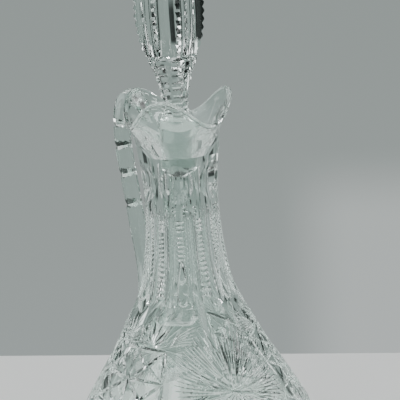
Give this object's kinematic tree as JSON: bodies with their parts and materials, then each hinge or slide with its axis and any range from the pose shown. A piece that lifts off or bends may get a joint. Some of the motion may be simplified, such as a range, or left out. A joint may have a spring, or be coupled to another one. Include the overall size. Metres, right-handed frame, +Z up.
{
  "type": "jug decanter",
  "caption": "Clear cut-glass jug decanter with a fluted neck, three-lobed pouring mouth, notched handle and lift-out stopper.",
  "frame": {"origin": "centre of the foot on the table plane", "axes": "+Z up along the jug's axis, +X towards the front pouring dip, handle at -X"},
  "size_m": [0.1522, 0.1522, 0.33],
  "materials": {
    "jug_glass": "clear polished cut crystal with a faint grey-green tint",
    "handle_glass": "clear fire-polished crystal with cut notches",
    "stopper_glass": "clear polished cut crystal, ground frosted plug"
  },
  "bodies": {
    "jug": {"jug_body": "jug_glass", "handle": "handle_glass"},
    "stopper": {"stopper": "stopper_glass"}
  },
  "joints": [
    {"name": "stopper_lift", "type": "slide", "parent": "jug", "child": "stopper", "axis": [0, 0, 1], "range_m": [0, 0.06]}
  ]
}
